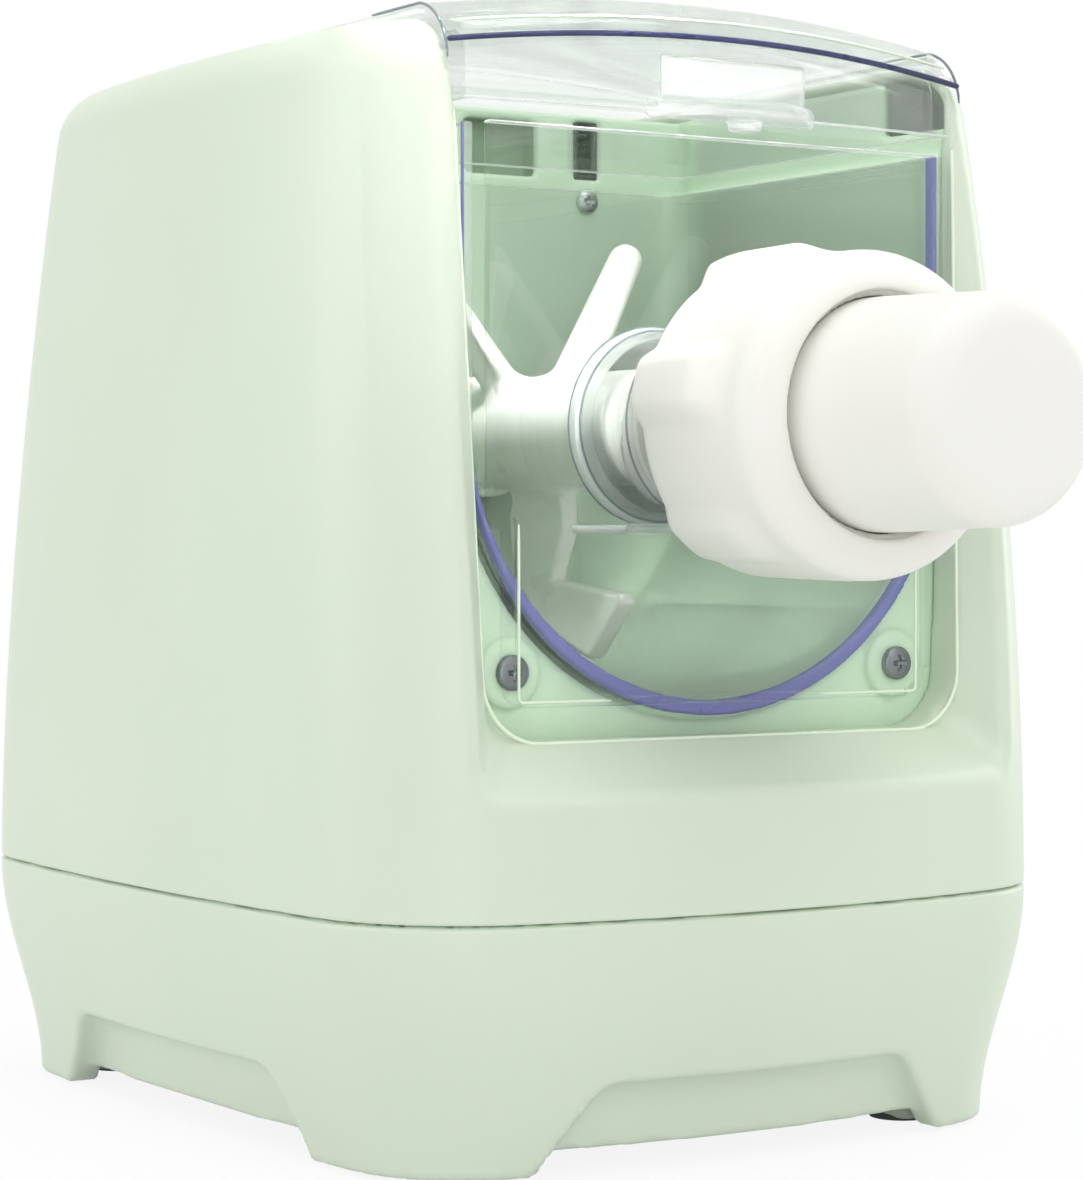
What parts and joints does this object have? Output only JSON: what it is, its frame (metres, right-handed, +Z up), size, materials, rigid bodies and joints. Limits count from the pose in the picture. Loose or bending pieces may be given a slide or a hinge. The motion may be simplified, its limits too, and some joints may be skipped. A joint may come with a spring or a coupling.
{
  "type": "electric pasta maker",
  "caption": "Countertop electric pasta maker with a clear lid and mixing chamber, an extrusion tube with locking nut and end cap, and a tapered moulded housing on feet.",
  "frame": {"origin": "on the floor plane, below the middle of the whole length and width", "axes": "+X to the right seen from the front, +Y from the end cap at the front to the rear, +Z up"},
  "size_m": [0.21, 0.346, 0.277],
  "materials": {
    "mint_shell": "satin moulded ABS",
    "mint_liner": "semi-gloss moulded ABS",
    "clear_plastic": "clear moulded plastic",
    "violet_seal": "silicone",
    "ivory_plastic": "semi-gloss moulded plastic",
    "black_plastic": "satin",
    "black_glass": "polished",
    "black_rubber": "matt",
    "steel": "fine turned",
    "dark_steel": "laminated",
    "bronze": "sintered",
    "acetal": "moulded acetal",
    "copper": "varnished windings",
    "circuit_board": "soldermask"
  },
  "bodies": {
    "housing": {"upper_housing": "mint_shell", "base_shell": "mint_shell", "base_plate": "mint_shell", "rubber_feet": "black_rubber", "bay_liner": "mint_liner", "liner_screws": "steel", "control_panel": "ivory_plastic", "display_window": "black_glass", "control_board": "circuit_board", "panel_switches": "black_plastic", "hinge_pin": "steel", "output_bearings": "bronze", "gearbox_case": "ivory_plastic", "gearbox_cover": "ivory_plastic", "gearbox_screws": "steel", "idler_shaft": "steel", "motor_can": "steel", "motor_stator": "dark_steel", "power_board": "circuit_board", "power_inlet": "black_plastic", "wiring_harness": "black_plastic", "interlock_socket": "black_plastic", "contact_leaves": "steel", "wall_screw": "steel", "lid_switch": "black_plastic", "housing_screws": "steel"},
    "lid": {"lid_shell": "clear_plastic", "lid_tab": "clear_plastic", "lid_gasket": "violet_seal"},
    "chamber": {"mixing_chamber": "clear_plastic", "chamber_seal": "violet_seal", "shaft_seal": "black_rubber"},
    "plate": {"front_plate": "clear_plastic", "extrusion_tube": "clear_plastic", "shaping_disc": "ivory_plastic"},
    "nut": {"locking_nut": "ivory_plastic"},
    "cap": {"end_cap": "ivory_plastic"},
    "mixing_shaft": {"mixing_paddle": "ivory_plastic", "extruder_auger": "ivory_plastic"},
    "drive": {"drive_coupling": "steel", "drive_shaft": "steel", "output_gear": "acetal"},
    "idler": {"idler_gear": "acetal"},
    "motor": {"motor_pinion": "steel", "motor_shaft": "steel", "motor_rotor": "copper", "motor_fan": "black_plastic"},
    "power_key": {"power_button": "ivory_plastic"},
    "program_key": {"program_button": "ivory_plastic"},
    "weight_key": {"weight_button": "ivory_plastic"},
    "start_key": {"start_button": "ivory_plastic"}
  },
  "joints": [
    {"name": "lid_hinge", "type": "hinge", "parent": "housing", "child": "lid", "pos_m": [0, 0.072, 0.2625], "axis": [-1, 0, 0], "range_deg": [0, 95]},
    {"name": "chamber_slide", "type": "slide", "parent": "housing", "child": "chamber", "axis": [0, -1, 0], "range_m": [0, 0.125]},
    {"name": "plate_slide", "type": "slide", "parent": "chamber", "child": "plate", "axis": [0, -1, 0], "range_m": [0, 0.05]},
    {"name": "nut_turn", "type": "hinge", "parent": "plate", "child": "nut", "pos_m": [0, -0.107, 0.1755], "axis": [0, -1, 0], "range_deg": [0, 40]},
    {"name": "cap_pull", "type": "slide", "parent": "nut", "child": "cap", "axis": [0, -1, 0], "range_m": [0, 0.06]},
    {"name": "mixing_spin", "type": "hinge", "parent": "chamber", "child": "mixing_shaft", "pos_m": [0, 0.043, 0.1755], "axis": [0, 1, 0], "continuous": true},
    {"name": "drive_spin", "type": "hinge", "parent": "housing", "child": "drive", "pos_m": [0, 0.063, 0.1755], "axis": [0, 1, 0], "continuous": true},
    {"name": "idler_spin", "type": "hinge", "parent": "housing", "child": "idler", "pos_m": [0.02475, 0.078, 0.13263], "axis": [0, 1, 0], "continuous": true},
    {"name": "motor_spin", "type": "hinge", "parent": "housing", "child": "motor", "pos_m": [0.01244, 0.103, 0.0988], "axis": [0, 1, 0], "continuous": true},
    {"name": "power_press", "type": "slide", "parent": "housing", "child": "power_key", "axis": [0, 0, -1], "range_m": [0, 0.001], "stiffness_N_per_m": 400, "springref_m": -0.001},
    {"name": "program_press", "type": "slide", "parent": "housing", "child": "program_key", "axis": [0, 0, -1], "range_m": [0, 0.001], "stiffness_N_per_m": 400, "springref_m": -0.001},
    {"name": "weight_press", "type": "slide", "parent": "housing", "child": "weight_key", "axis": [0, 0, -1], "range_m": [0, 0.001], "stiffness_N_per_m": 400, "springref_m": -0.001},
    {"name": "start_press", "type": "slide", "parent": "housing", "child": "start_key", "axis": [0, 0, -1], "range_m": [0, 0.001], "stiffness_N_per_m": 400, "springref_m": -0.001}
  ],
  "couplings": [
    {"joint": "mixing_spin", "follows": "drive_spin", "ratio": 1},
    {"joint": "idler_spin", "follows": "drive_spin", "ratio": -4.5},
    {"joint": "motor_spin", "follows": "drive_spin", "ratio": 22.5}
  ]
}
